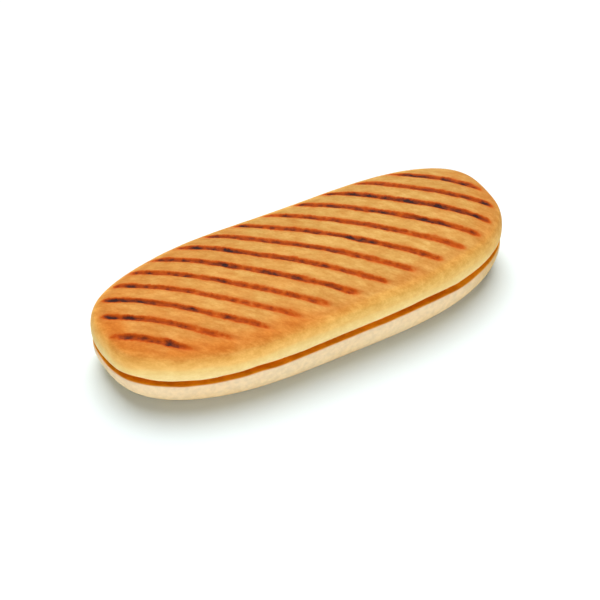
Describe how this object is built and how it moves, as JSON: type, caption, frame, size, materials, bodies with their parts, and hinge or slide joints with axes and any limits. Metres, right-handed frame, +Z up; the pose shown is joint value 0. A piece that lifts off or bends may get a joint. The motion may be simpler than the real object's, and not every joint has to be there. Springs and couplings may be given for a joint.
{
  "type": "panini",
  "caption": "Long oval flatbread panini, cut open along its side into a domed top half and a pale bottom half, with parallel slanting grill marks pressed into the top.",
  "frame": {"origin": "middle of the object's box in plan, on the surface it lies on", "axes": "+X along the roll, +Y away from the viewer, +Z up"},
  "size_m": [0.25, 0.1006, 0.0433],
  "materials": {
    "toasted_crust": "matte golden brown baked crust",
    "pale_crust": "matte pale cream baked crust"
  },
  "bodies": {
    "root": {"top_half": "toasted_crust", "bottom_half": "pale_crust"}
  },
  "joints": []
}
